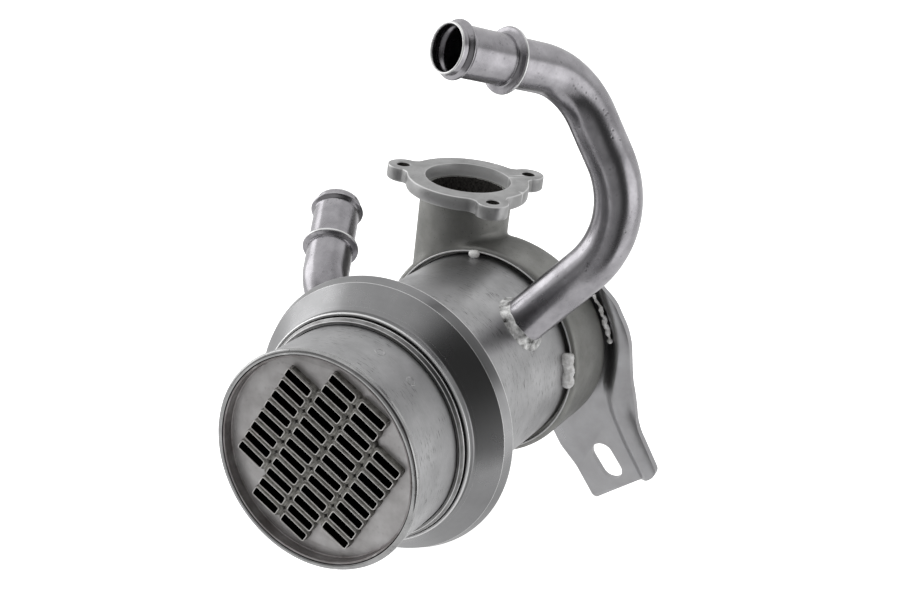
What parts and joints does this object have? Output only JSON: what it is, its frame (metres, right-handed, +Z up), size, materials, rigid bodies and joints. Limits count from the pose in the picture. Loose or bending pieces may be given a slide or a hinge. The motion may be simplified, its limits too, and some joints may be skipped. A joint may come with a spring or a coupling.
{
  "type": "EGR cooler",
  "caption": "Round shell-and-tube exhaust gas cooler with an open tube bundle, conical collar, cast flanged outlet, two bent coolant pipes and a pressed bracket.",
  "frame": {"origin": "centre of the inlet mouth, in the plane of the shell's rolled rim", "axes": "+Y along the shell's axis from the inlet mouth to the outlet housing, +Z up along the outlet flange's normal, +X to the side that carries the long coolant pipe and the bracket"},
  "size_m": [0.1535, 0.1931, 0.252],
  "materials": {
    "satin_stainless": "satin",
    "brushed_stainless": "brushed",
    "machined_steel": "machined",
    "tube_steel": "satin",
    "cast_steel": "as cast",
    "weld_metal": "rough"
  },
  "bodies": {
    "root": {"gas_tube_01": "tube_steel", "gas_tube_02": "tube_steel", "gas_tube_03": "tube_steel", "gas_tube_04": "tube_steel", "gas_tube_05": "tube_steel", "gas_tube_06": "tube_steel", "gas_tube_07": "tube_steel", "gas_tube_08": "tube_steel", "gas_tube_09": "tube_steel", "gas_tube_10": "tube_steel", "gas_tube_11": "tube_steel", "gas_tube_12": "tube_steel", "gas_tube_13": "tube_steel", "gas_tube_14": "tube_steel", "gas_tube_15": "tube_steel", "gas_tube_16": "tube_steel", "gas_tube_17": "tube_steel", "gas_tube_18": "tube_steel", "gas_tube_19": "tube_steel", "gas_tube_20": "tube_steel", "gas_tube_21": "tube_steel", "gas_tube_22": "tube_steel", "gas_tube_23": "tube_steel", "gas_tube_24": "tube_steel", "gas_tube_25": "tube_steel", "gas_tube_26": "tube_steel", "gas_tube_27": "tube_steel", "gas_tube_28": "tube_steel", "gas_tube_29": "tube_steel", "gas_tube_30": "tube_steel", "gas_tube_31": "tube_steel", "gas_tube_32": "tube_steel", "gas_tube_33": "tube_steel", "gas_tube_34": "tube_steel", "gas_tube_35": "tube_steel", "gas_tube_36": "tube_steel", "gas_tube_37": "tube_steel", "gas_tube_38": "tube_steel", "gas_tube_39": "tube_steel", "gas_tube_40": "tube_steel", "front_tube_sheet": "brushed_stainless", "rear_tube_sheet": "brushed_stainless", "shell": "brushed_stainless", "seat_ring": "satin_stainless", "collar": "machined_steel", "outlet_housing": "cast_steel", "long_coolant_pipe": "satin_stainless", "short_coolant_pipe": "satin_stainless", "long_pipe_braze": "weld_metal", "short_pipe_braze": "weld_metal", "bracket": "brushed_stainless", "bracket_weld": "weld_metal", "side_tack_weld": "weld_metal", "top_tack_weld": "weld_metal"}
  },
  "joints": []
}
